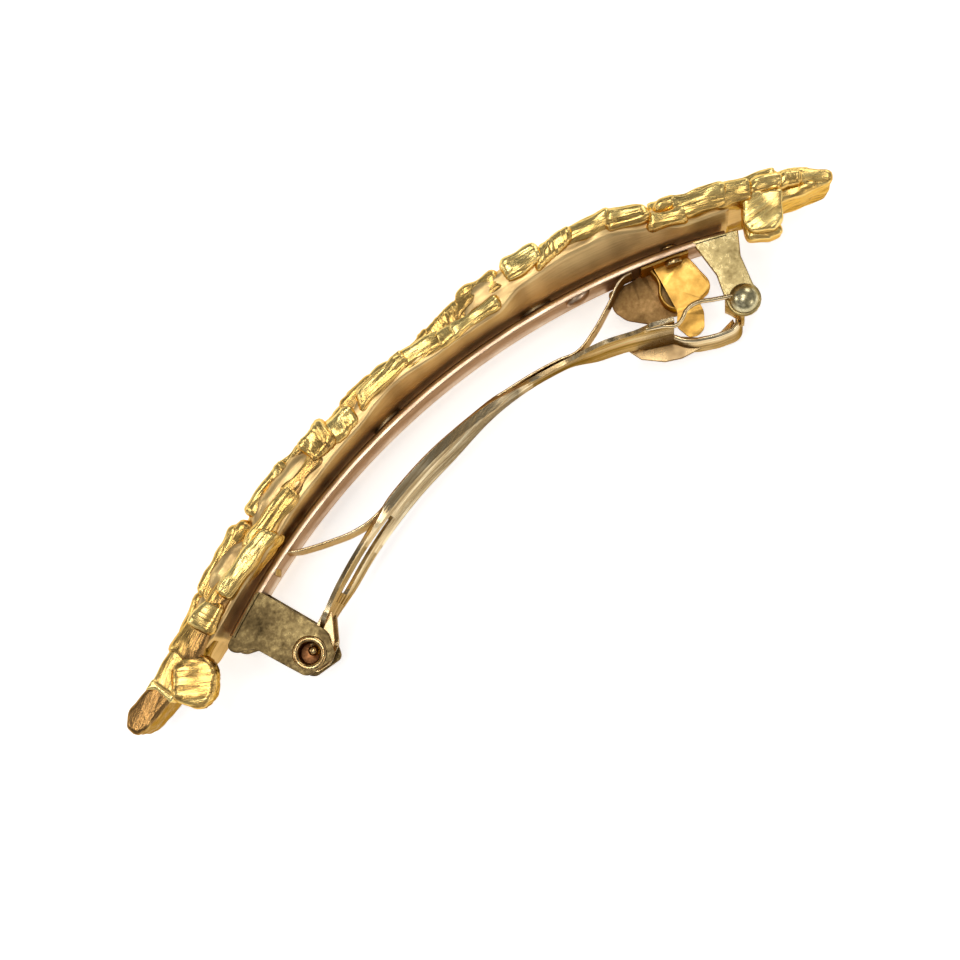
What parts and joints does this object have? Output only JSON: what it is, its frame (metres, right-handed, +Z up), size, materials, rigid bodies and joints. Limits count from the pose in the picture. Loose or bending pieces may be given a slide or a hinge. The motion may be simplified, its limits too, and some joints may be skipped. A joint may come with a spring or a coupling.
{
  "type": "barrette",
  "caption": "Arched spring barrette with a bark-textured cast metal front and a sprung clasp arm that hinges shut over the hair into a latch.",
  "frame": {"origin": "centre of the box around the barrette as it lies on its long edge, at the level of that edge", "axes": "+X from the hinge end to the latch end, +Y outward from the decorative front (the clip is on the -Y side), +Z up across the width of the barrette"},
  "size_m": [0.0946, 0.0234, 0.017],
  "materials": {
    "cast_gold": "polished with brushed striations",
    "solder": "dull",
    "clip_brass": "satin, tarnished",
    "rivet_brass": "satin",
    "spring_brass": "polished",
    "catch_brass": "satin",
    "aged_brass": "tarnished"
  },
  "bodies": {
    "clip": {"casting": "cast_gold", "solder_pads": "solder", "base_bar": "clip_brass", "hinge_rivet": "rivet_brass", "tension_bow": "spring_brass", "catch_rivet": "rivet_brass", "stop_stud": "aged_brass"},
    "arm": {"clasp_arm": "clip_brass"},
    "catch": {"latch_catch": "catch_brass"}
  },
  "joints": [
    {"name": "arm_open", "type": "hinge", "parent": "clip", "child": "arm", "pos_m": [-0.0272, -0.0097, 0.0085], "axis": [0, 0, -1], "range_deg": [0, 80]},
    {"name": "catch_press", "type": "hinge", "parent": "clip", "child": "catch", "pos_m": [0.028, 0.0013, 0.0101], "axis": [-1, 0, 0], "range_deg": [0, 6], "stiffness_Nm_per_rad": 0.02}
  ]
}
